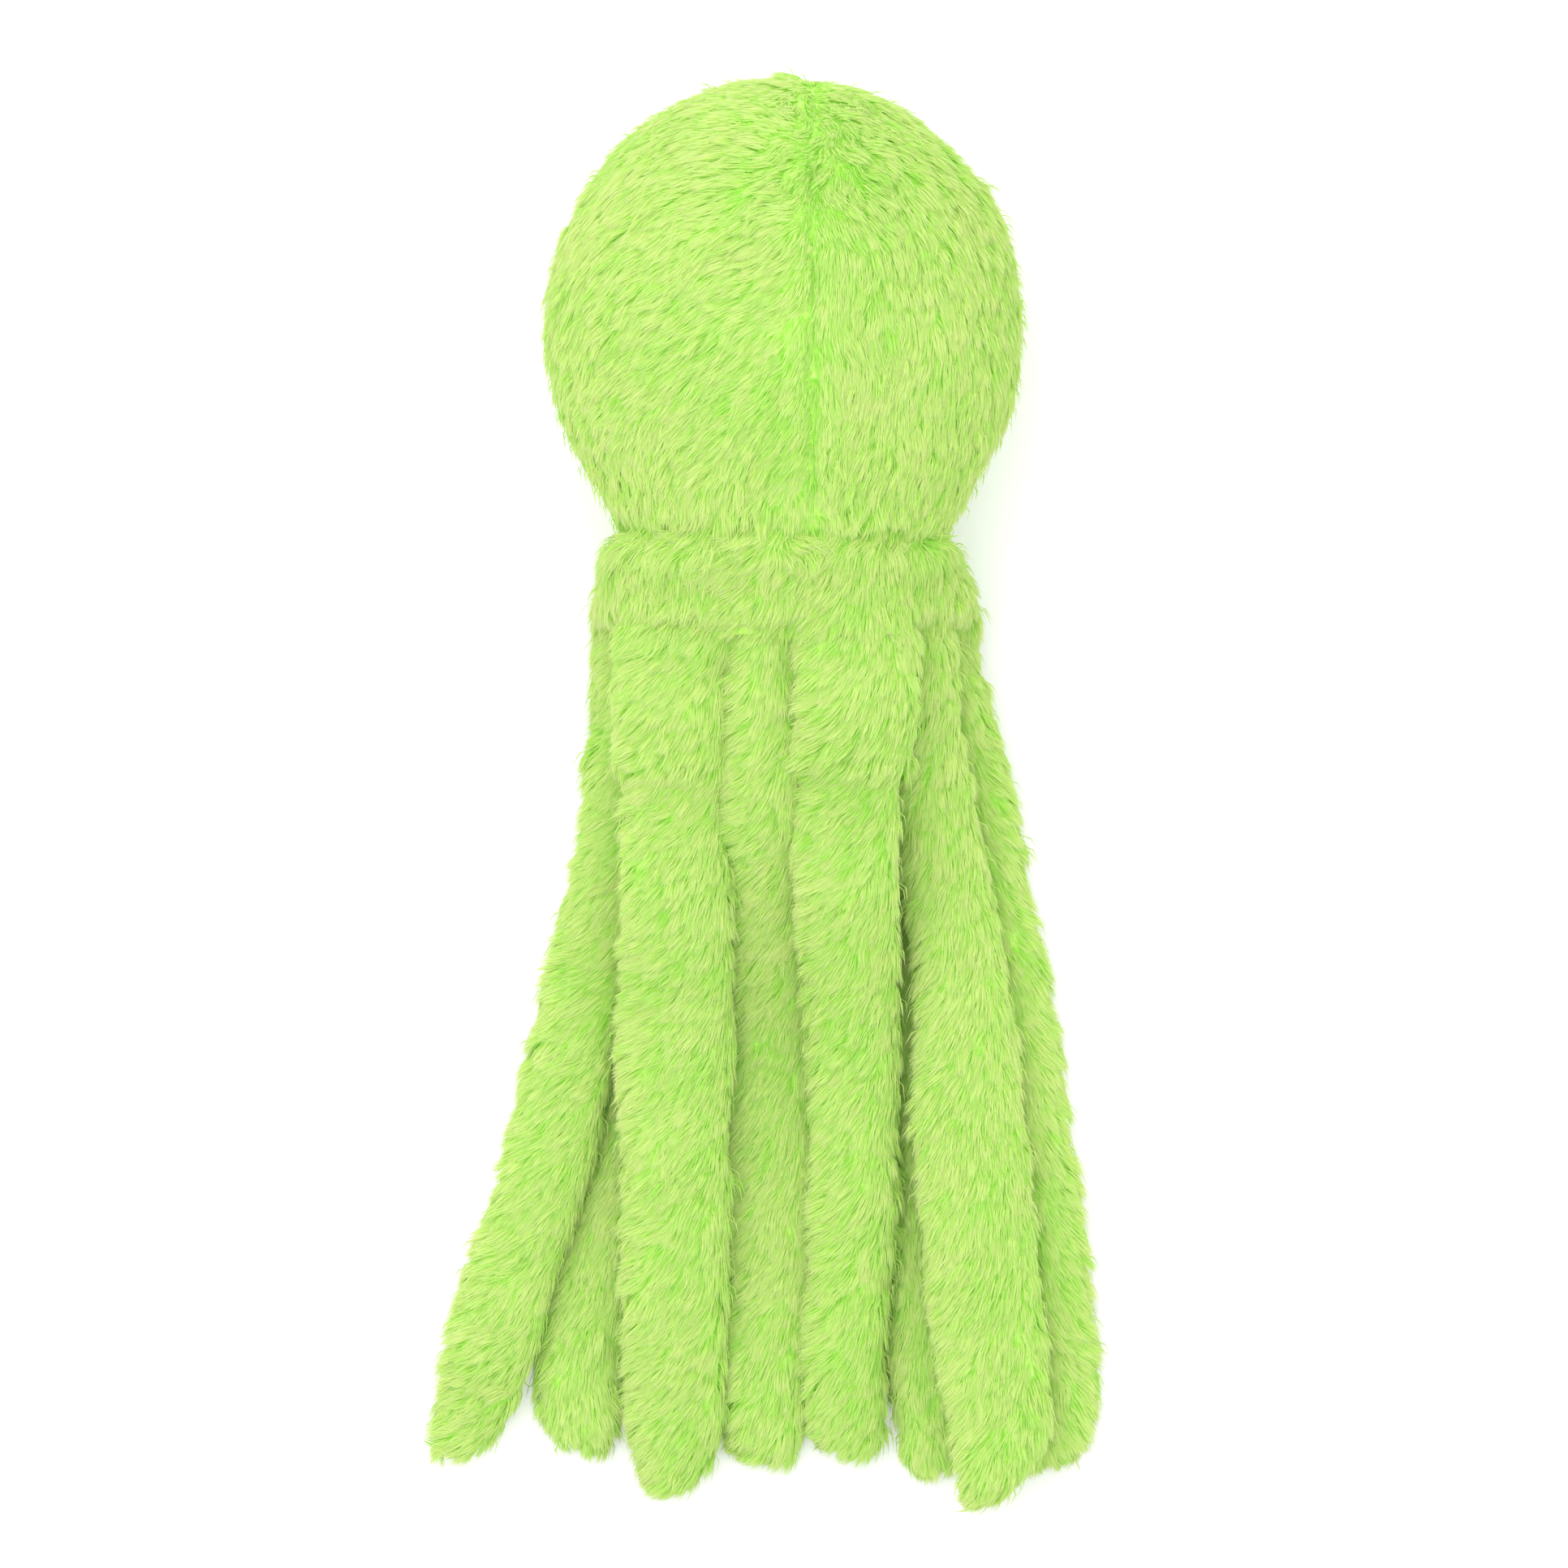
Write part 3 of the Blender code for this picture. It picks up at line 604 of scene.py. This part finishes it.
def plant(name, piece, comb, density, lift, seed, length=None):
    """Grows the pile of one piece.

    comb gives the way the pile lies at each point, density the fibres per mm2, lift a factor on
    how far it stands up and length a factor on how long it is.
    """
    rng = np.random.default_rng(seed)
    base, normal = scatter(piece, density, rng)
    count = len(base)
    locks = rng.permutation(count)[: max(1, int(lock_share(base, normal, density) * count))]
    mine = nearest(base, base[locks])

    lie = along_surface(comb(base, normal), normal)
    side = np.cross(lie, normal)
    factor = length(base, normal) if length else np.ones(count)
    stand = factor * lift(base, normal)

    # Each lock has its own slant, rise and length
    slant = rng.normal(0, LOCK_SLANT, len(locks)) + LOCK_DRIFT * wander(base[locks], 11 * MM, seed)
    rise = FIBRE_RISE * (1 + rng.normal(0, 0.3, len(locks)) + 0.25 * wander(base[locks], 8 * MM, seed + 1))
    rise = np.maximum(rise, LEAST_RISE * FIBRE_RISE)
    reach = FIBRE_LENGTH * rng.uniform(0.85, 1.1, len(locks))
    lock_way = unit(lie[locks] + side[locks] * slant[:, None])
    lock_tip = base[locks] + lock_way * (reach * factor[locks])[:, None]
    lock_tip += normal[locks] * (rise * stand[locks])[:, None]

    # Each fibre goes its own way, then is drawn to the tip of its lock
    own = rng.normal(0, FIBRE_SLANT, count) + slant[mine]
    way = unit(lie + side * own[:, None])
    long = FIBRE_LENGTH * factor * rng.uniform(0.72, 1.12, count)
    stray = np.where(rng.random(count) < STRAYS, STRAY_RISE, 1)
    high = rise[mine] * stand * rng.uniform(0.5, 1.1, count) * stray
    tip = base + way * long[:, None] + normal * high[:, None]
    pull = (LOCK_PULL * rng.uniform(0.6, 1.2, count))[:, None]
    gathered = lock_tip[mine] + (base - base[locks][mine]) * LOCK_SPREAD
    tip = tip * (1 - pull) + gathered * pull
    middle = base * 0.55 + tip * 0.45 + normal * (high * 0.30)[:, None]

    # Its broad side faces out and to the sky, so that the pile is as bright at the toy's edges
    root = base - normal * ROOT_DEPTH
    run = unit(tip - base)
    turn = rng.uniform(-MOST_TURN, MOST_TURN, count)[:, None]
    face = unit(normal + np.array([0, 0, SKYWARD]))
    across = unit(np.cross(run, face) * np.cos(turn) + face * np.sin(turn))
    edge = EDGE_WIDTH - (EDGE_WIDTH - 1) * np.abs(normal[:, 2])
    wide = (FIBRE_WIDTH * rng.uniform(0.7, 1.3, count) * edge)[:, None]
    points = np.stack([root, middle - across * wide * 0.5, middle + across * wide * 0.5, tip], 1)
    points[:, :, 2] = np.maximum(points[:, :, 2], FLOOR_CLEAR)

    shade = 0.5 + FIBRE_SHADES * rng.normal(0, 1, count) + LOCK_SHADES * rng.normal(0, 1, len(locks))[mine]
    # The last term is painted shade: a deeper green in the grooves of the back seams and in the ruffled
    # patch.
    shade += PATCH_SHADES * wander(base, 22 * MM, seed + 2) - painted_seam_and_ruffle_shade(base)
    write_fibres(name, points, face, across, run, np.clip(shade, 0.02, 0.97))


def lock_share(base, normal, density):
    """The share of a panel's fibres that start a lock of their own."""
    sample = slice(0, len(base), max(1, len(base) // 500))
    return 1 / max(4, density(base[sample], normal[sample]).mean() * (LOCK_SIZE / MM) ** 2)

# %% Write fibres to a mesh
MAP_WIDTH = 0.006           # half a fibre's width on its map
MAP_ROOT, MAP_MIDDLE, MAP_TIP = 0.01, 0.45, 0.99


def write_fibres(name, points, face, across, run, shade):
    """Four points of each fibre become two triangles, with a map and soft normals."""
    count = len(points)
    mesh = bpy.data.meshes.new(name)
    mesh.vertices.add(count * 4)
    mesh.vertices.foreach_set("co", points.reshape(-1))
    first = np.arange(count)[:, None] * 4
    corners = (first + np.array([0, 2, 1, 1, 2, 3])).reshape(-1)
    mesh.loops.add(count * 6)
    mesh.loops.foreach_set("vertex_index", corners)
    mesh.polygons.add(count * 2)
    mesh.polygons.foreach_set("loop_start", np.arange(count * 2) * 3)
    mesh.update(calc_edges=True)

    left, right = shade - MAP_WIDTH, shade + MAP_WIDTH
    u = np.stack([shade, right, left, left, right, shade], 1)
    lower, upper = [MAP_ROOT, MAP_MIDDLE, MAP_MIDDLE], [MAP_MIDDLE, MAP_MIDDLE, MAP_TIP]
    v = np.broadcast_to(np.array(lower + upper), u.shape)
    uv = np.stack([u, v], 2).reshape(-1)
    mesh.uv_layers.new(name="OFBake").uv.foreach_set("vector", uv)

    facing = np.cross(run, across)
    facing *= np.sign(np.sum(facing * face, axis=1, keepdims=True) + 1e-9)
    soft = unit(face * 0.8 + facing * 0.2)
    mesh.normals_split_custom_set_from_vertices(np.repeat(soft, 4, axis=0))
    mesh.materials.append(pile_material)
    made = bpy.data.objects.new(name, mesh)
    bpy.context.scene.collection.objects.link(made)
    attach(made, "root")
    print(name, count, "fibres")
    fibre_counts.append(count)


fibre_counts = []

# %% [markdown]
# ## How the pile lies
#
# On the head the left panel's pile sweeps out and down to the left, and the right panel's falls
# straight down, so the seam between them shows as a parting. Below the crown a patch is ruffled,
# and painted shade makes it greener. On a tentacle it runs to the tip and fans out at both edges.
# Each is a small function of place, which is easier to steer than guide hairs drawn one by one.

# %% Comb the head
SWEEP_HEIGHTS = [-1.0, -0.8, -0.5, 0.0, 0.8]       # from the neck to the crown
SWEEP_LEFT = np.radians([10, 22, 40, 54, 68])
SWEEP_RIGHT = np.radians([4, 8, 6, 0, -42])
HEAD_END = NECK_Y + 4.5 * MM    # where the last roots are, so that the tips hang over the neck seam
SEAM_SHADE_REACH = 1.8 * MM           # how far from a seam its painted shade reaches
SEAM_PARTING = 14 * MM          # how far from it the sweep reaches its full angle
UNDER_REACH = 20 * MM           # how far below the side seams the sweep fades out
RUFFLE_SIZE = 7 * MM            # the size of its swirls
RUFFLE_MIDDLE = np.array([14, 38, 103]) * MM
RUFFLE_REACH = np.array([24, 18, 30]) * MM


def up_the_head(points):
    return np.clip((points[:, 1] - head_middle.y) / (head_high.y - head_middle.y), -1, 1)


def ruffled(points):
    """1 in the middle of the patch below the crown where the pile stands up, 0 away from it."""
    off = (points - RUFFLE_MIDDLE) / RUFFLE_REACH
    return np.exp(-np.sum(off * off, axis=1)) * (points[:, 2] > head_middle.z)


def painted_seam_and_ruffle_shade(points):
    """How much painted shade deepens the pile's green in the ruffled patch and in the grooves of the two back
    seams.
    """
    off_head = np.where(points[:, 1] > NECK_Y, points[:, 0] - back_seam_x, 1) / SEAM_SHADE_REACH
    off_skirt = np.where(points[:, 1] < NECK_Y, points[:, 0] - SKIRT_SEAM_X, 1) / SEAM_SHADE_REACH
    seams = np.exp(-off_head * off_head) + np.exp(-off_skirt * off_skirt) * (points[:, 1] > RIM_Y)
    return 0.16 * ruffled(points) + 0.3 * seams * (points[:, 2] > head_middle.z)


def head_comb(points, normals):
    up = up_the_head(points)
    from_seam = (back_seam_x - points[:, 0]) / SEAM_PARTING
    sweep_left, sweep_right = (np.interp(up, SWEEP_HEIGHTS, sweep) for sweep in (SWEEP_LEFT, SWEEP_RIGHT))
    sweep = np.where(from_seam > 0, sweep_left, sweep_right) * np.clip(np.abs(from_seam) + 0.4, 0, 1)
    under = np.clip((head_middle.z - points[:, 2]) / UNDER_REACH, 0, 1)
    sweep = sweep * (1 - under)
    crown = 0.9 * np.clip((up - 0.5) / 0.3, 0, 1)
    sweep += (crown + 1.1 * ruffled(points)) * wander(points, RUFFLE_SIZE, 5)
    sweep += np.clip((-0.75 - up) / 0.2, 0, 1) * wander(points, RUFFLE_SIZE, 6) * 0.5
    return np.stack([-np.sin(sweep), -np.cos(sweep), np.zeros(len(points))], 1)


def head_length(points, normals):
    up = up_the_head(points)
    off = np.abs(points[:, 0] - back_seam_x) / (3 * MM)
    seam = np.where(points[:, 2] > head_middle.z, 1 - 0.42 * np.exp(-off * off), 1)
    crown = 1 - 0.22 * np.clip((up - 0.5) / 0.4, 0, 1) - 0.15 * ruffled(points)
    edge = 1 - 0.22 * (1 - np.abs(normals[:, 2])) ** 2
    return seam * crown * edge * (1 + 0.12 * wander(points, 14 * MM, 8))


def facing_density(points, normals):
    """More fibres where the toy is seen from above, fewer underneath."""
    return np.interp(normals[:, 2], [-0.6, -0.1, 0.3], [1.0, 2.3, 4.4])

# %% Comb a tentacle
COMBS = {                   # lean of the middle, and where across it the pile parts
    "tentacle_1": (-0.60, 0.6),
    "tentacle_3": (-0.45, 0.5),
    "tentacle_4": (-0.35, 0.3),
    "tentacle_5": (-0.30, 0.5),
    "tentacle_7": (-0.15, 0.3),
    "tentacle_8": (0.30, -0.2),
}
SLICE = 8 * MM


def middle_line(name):
    """The middle and half width of a packed tentacle as functions of y."""
    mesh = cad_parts[name].data
    places = np.empty(len(mesh.vertices) * 3)
    mesh.vertices.foreach_get("co", places)
    places = places.reshape(-1, 3)
    low, high = places[:, 1].min(), places[:, 1].max()
    ys, middles, halves = [], [], []
    for y in np.arange(low + SLICE, high, SLICE):
        near = places[np.abs(places[:, 1] - y) < SLICE]
        if len(near):
            ys.append(y)
            middles.append((near[:, 0].min() + near[:, 0].max()) / 2)
            halves.append((near[:, 0].max() - near[:, 0].min()) / 2)
    return np.array(ys), np.array(middles), np.array(halves)


def tentacle_comb(name):
    ys, middles, halves = middle_line(name)
    lean, parting = COMBS.get(name, (0.0, 0.0))

    def comb(points, normals):
        middle = np.interp(points[:, 1], ys, middles)
        half = np.interp(points[:, 1], ys, halves)
        slope = np.interp(points[:, 1], ys, np.gradient(middles, ys))
        off = np.clip((points[:, 0] - middle) / half, -1.2, 1.2)
        fan = lean + 0.5 * np.clip(off - parting, -1, 1) ** 3 + 0.42 * np.clip(off - parting, -1, 1)
        droop = -0.25 * (1 - np.abs(normals[:, 2]))
        return np.stack([fan - slope, np.full(len(points), -1.0), droop], 1)

    return comb

# %% [markdown]
# ## Where each panel's pile grows and stands up
#
# Pile that stands a little higher tells where one panel ends and the next begins: at the neck
# it puffs up over the seam, at the tentacles' roots it lies flatter under the skirt's, and a
# third of the way down two of them it stands over the strip below. At the tips the tufts are
# longer at both corners, because a sewn tube's end is square.

# %% Where pile grows
STEP_Y = -125.8 * MM
STEPPED = ("tentacle_3", "tentacle_5")
ROOTS_TOP = RIM_Y + 6 * MM      # the pile of the tentacles starts here, just inside the skirt
SKIRT_TOP = NECK_Y + 3 * MM     # and the skirt's here, under the head's last fibres
SKIRT_MIDDLE_Z = 42 * MM
SKIRT_PLACES = [-50, -20, 0, 4, 14, 35, 50]                 # mm across the skirt
SKIRT_LEANS = [-0.6, -0.45, -0.3, -0.5, -0.3, 0.2, 0.45]    # which way its pile leans there


def side_of_seam(left):
    def density(points, normals):
        above = (points[:, 2] > head_middle.z) & (points[:, 1] > HEAD_END)
        mine = points[:, 0] < back_seam_x if left else points[:, 0] >= back_seam_x
        return facing_density(points, normals) * (above & mine)
    return density


def front_density(points, normals):
    return facing_density(points, normals) * ((points[:, 2] <= head_middle.z) & (points[:, 1] > HEAD_END))


def below_rim(points, normals):
    """No pile on the part of a tentacle that is inside the skirt."""
    return facing_density(points, normals) * (points[:, 1] < ROOTS_TOP)


def skirt_comb(points, normals):
    """It flows into the pile of the roots, and is ruffled near the neck."""
    lean = np.interp(points[:, 0] / MM, SKIRT_PLACES, SKIRT_LEANS)
    ruffle = np.interp(points[:, 1], [RIM_Y, NECK_Y - 6 * MM, NECK_Y], [0.25, 0.5, 1.6])
    lean += ruffle * wander(points, 7 * MM, 31)
    down = np.interp(points[:, 1], [NECK_Y - 5 * MM, NECK_Y, SKIRT_TOP], [-1.0, -0.1, -1.0])
    return np.stack([lean, down, np.zeros(len(points))], 1)


def skirt_density(points, normals):
    """Pile on the outside of the sleeve alone, down to a ragged line."""
    out = (points[:, 0] - head_middle.x) * normals[:, 0] + (points[:, 2] - SKIRT_MIDDLE_Z) * normals[:, 2]
    ragged = RIM_Y + (3.5 + 2.5 * wander(points, 8 * MM, 33)) * MM
    on_sleeve = (points[:, 1] < SKIRT_TOP) & (points[:, 1] > ragged)
    return facing_density(points, normals) * ((out > 0) & on_sleeve)

# %% How far it stands up
def edge_lift(points, normals):
    """How much more the pile stands up, in uneven tufts, where a piece is seen side-on."""
    return 0.25 * (1 - np.abs(normals[:, 2])) ** 2 * (1 + 1.4 * wander(points, 4 * MM, 43))


def head_lift(points, normals):
    """It stands up most at the neck, in the ruffled patch, and where the head is seen side-on."""
    neck = 0.4 * np.clip(1 - (points[:, 1] - HEAD_END) / (7 * MM), 0, 1)
    edge = edge_lift(points, normals)
    return 1 + neck + edge + 1.1 * ruffled(points) * (1 + 0.4 * wander(points, 5 * MM, 9))


def skirt_lift(points, normals):
    """Its first fibres stand up in puffs at the neck, its last ones a little over the roots."""
    puffs = np.clip((points[:, 1] - NECK_Y + 6 * MM) / (5 * MM), 0, 1)
    over = np.clip((RIM_Y + 11 * MM - points[:, 1]) / (10 * MM), 0, 1) * np.clip(normals[:, 2], 0, 1)
    return 1 + 0.9 * puffs * (1 + 0.6 * wander(points, 5 * MM, 32)) + 0.15 * over


def root_lift(points, normals):
    """A tentacle's first fibres lie a little flatter, under the last ones of the skirt."""
    grown = 0.75 + 0.25 * np.clip((RIM_Y + 1 * MM - points[:, 1]) / (6 * MM), 0, 1)
    return grown * (1 + 0.8 * edge_lift(points, normals))


def step_lift(points, normals):
    """The upper panel's last fibres stand over the strip below it."""
    above = np.exp(-((points[:, 1] - STEP_Y - 5 * MM) / (4 * MM)) ** 2)
    below = np.exp(-((points[:, 1] - STEP_Y + 3 * MM) / (3 * MM)) ** 2)
    return root_lift(points, normals) + 0.9 * above - 0.55 * below


def tentacle_length(name):
    """Longer tufts at the two corners of the tip, shorter ones in its middle."""
    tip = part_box(name)[0][1]
    ys, middles, halves = middle_line(name)

    def length(points, normals):
        near = np.clip(1 - (points[:, 1] - tip) / (14 * MM), 0, 1)
        off = (points[:, 0] - np.interp(points[:, 1], ys, middles)) / np.interp(points[:, 1], ys, halves)
        corner = np.clip(np.abs(off), 0, 1) ** 2
        tufts = 0.8 * corner - 0.3 + 0.4 * wander(points, 4 * MM, 41)
        return 1 + near * tufts + 0.1 * wander(points, 10 * MM, 42)

    return length

# %% Plant every panel
plant("head_back_left_pile", cloth["head"], head_comb, side_of_seam(True), head_lift, 11, head_length)
plant("head_back_right_pile", cloth["head"], head_comb, side_of_seam(False), head_lift, 12, head_length)
plant("head_front_pile", cloth["head"], head_comb, front_density, head_lift, 13, head_length)
plant("skirt_pile", cloth["skirt"], skirt_comb, skirt_density, skirt_lift, 14)
for number, name in enumerate(TENTACLES):
    lift = step_lift if name in STEPPED else root_lift
    plant(name + "_pile", cloth[name], tentacle_comb(name), below_rim, lift, 20 + number,
          tentacle_length(name))
print("fibres in all", sum(fibre_counts), "triangles", 2 * sum(fibre_counts))

# %% [markdown]
# ## Inner pieces
#
# The filling, the squeaker and its reed are shut in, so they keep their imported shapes. They are
# still part of the model, and each gets a material of its own: cloudy white fibre, and thin
# milky plastic.

# %% Inner materials
FIBRE_GREY, FIBRE_WHITE = (0.72, 0.72, 0.70), (0.90, 0.90, 0.88)
MILKY_BLUE, MILKY_WHITE = (0.74, 0.77, 0.80), (0.84, 0.86, 0.87)


def make_fibre_material():
    material, tree, shader = new_material("polyester_fibre", 0.95)
    place = Wire(tree, Wire.node(tree, "ShaderNodeTexCoord").outputs["Object"])
    wisps = Wire.node(tree, "ShaderNodeTexNoise", Vector=place, Scale=400.0, Detail=5.0)
    colour = ramp(tree, Wire(tree, wisps.outputs[0]), [(0.3, FIBRE_GREY), (0.7, FIBRE_WHITE)])
    tree.links.new(colour.socket, shader.inputs["Base Color"])
    bump = Wire.node(tree, "ShaderNodeBump", Height=Wire(tree, wisps.outputs[0]), Distance=0.001)
    tree.links.new(bump.outputs[0], shader.inputs["Normal"])
    return material


def make_plastic_material():
    material, tree, shader = new_material("squeaker_plastic", 0.4)
    place = Wire(tree, Wire.node(tree, "ShaderNodeTexCoord").outputs["Object"])
    cloud = Wire.node(tree, "ShaderNodeTexNoise", Vector=place, Scale=60.0, Detail=2.0)
    colour = ramp(tree, Wire(tree, cloud.outputs[0]), [(0.3, MILKY_BLUE), (0.7, MILKY_WHITE)])
    tree.links.new(colour.socket, shader.inputs["Base Color"])
    return material


for names, material in (
    (("head_stuffing", "neck_stuffing"), make_fibre_material()),
    (("squeaker", "squeaker_reed"), make_plastic_material()),
):
    for name in names:
        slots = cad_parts[name].data.materials
        slots.clear()
        slots.append(material)
    print(material.name, "on", " and ".join(names))

# %% [markdown]
# ## Floor and light
#
# The floor is pale, and glows a little for the camera alone, so that the picture's ground is
# white while the toy still gets plain light and keeps its shadow. Most of that light is an even
# white world, as in a light tent, because hard light would turn the grooves in the pile black.
# Two wide weak lamps, overhead and beyond the crown, give the locks a little shape.

# %% Floor
FLOOR_SIZE = 3.0            # metres from its middle to its side
FLOOR_PALE = (0.86, 0.86, 0.86, 1)
FLOOR_GLOW = 0.30           # added for the camera's own rays


def make_floor():
    bm = bmesh.new()
    bmesh.ops.create_grid(bm, x_segments=1, y_segments=1, size=FLOOR_SIZE)
    mesh = bpy.data.meshes.new("floor")
    bm.to_mesh(mesh)
    bm.free()
    material, tree, shader = new_material("floor_white", 0.9)
    shader.inputs["Base Color"].default_value = FLOOR_PALE
    shader.inputs["Specular IOR Level"].default_value = 0.1
    seen = Wire(tree, Wire.node(tree, "ShaderNodeLightPath").outputs["Is Camera Ray"])
    glow = Wire.node(tree, "ShaderNodeEmission", Strength=seen * FLOOR_GLOW)
    both = Wire.node(tree, "ShaderNodeAddShader")
    tree.links.new(shader.outputs[0], both.inputs[0])
    tree.links.new(glow.outputs[0], both.inputs[1])
    tree.links.new(both.outputs[0], tree.nodes["Material Output"].inputs["Surface"])
    mesh.materials.append(material)
    floor = bpy.data.objects.new("floor", mesh)
    bpy.context.scene.collection.objects.link(floor)


make_floor()

# %% Light
WORLD_LIGHT = 0.965
KEY_PLACE, KEY_SIZE, KEY_POWER = (-0.25, 0.1, 1.7), 0.9, 10.0         # metres and watts
CROWN_PLACE, CROWN_SIZE, CROWN_POWER = (-0.1, 1.5, 0.9), 1.2, 4.0


def add_lamp(name, place, size, power):
    """A square lamp that looks at the middle of the toy."""
    data = bpy.data.lights.new(name, "AREA")
    data.shape = "SQUARE"
    data.size = size
    data.energy = power
    lamp = bpy.data.objects.new(name, data)
    lamp.location = place
    lamp.rotation_euler = (VIEW_MIDDLE - Vector(place)).to_track_quat("-Z", "Y").to_euler()
    bpy.context.scene.collection.objects.link(lamp)


add_lamp("key", KEY_PLACE, KEY_SIZE, KEY_POWER)
add_lamp("crown", CROWN_PLACE, CROWN_SIZE, CROWN_POWER)
world = bpy.data.worlds.new("studio")
world.use_nodes = True
sky = world.node_tree.nodes["Background"]
sky.inputs[0].default_value = (1, 1, 1, 1)
sky.inputs[1].default_value = WORLD_LIGHT
bpy.context.scene.world = world
bpy.context.scene.view_settings.view_transform = "Standard"
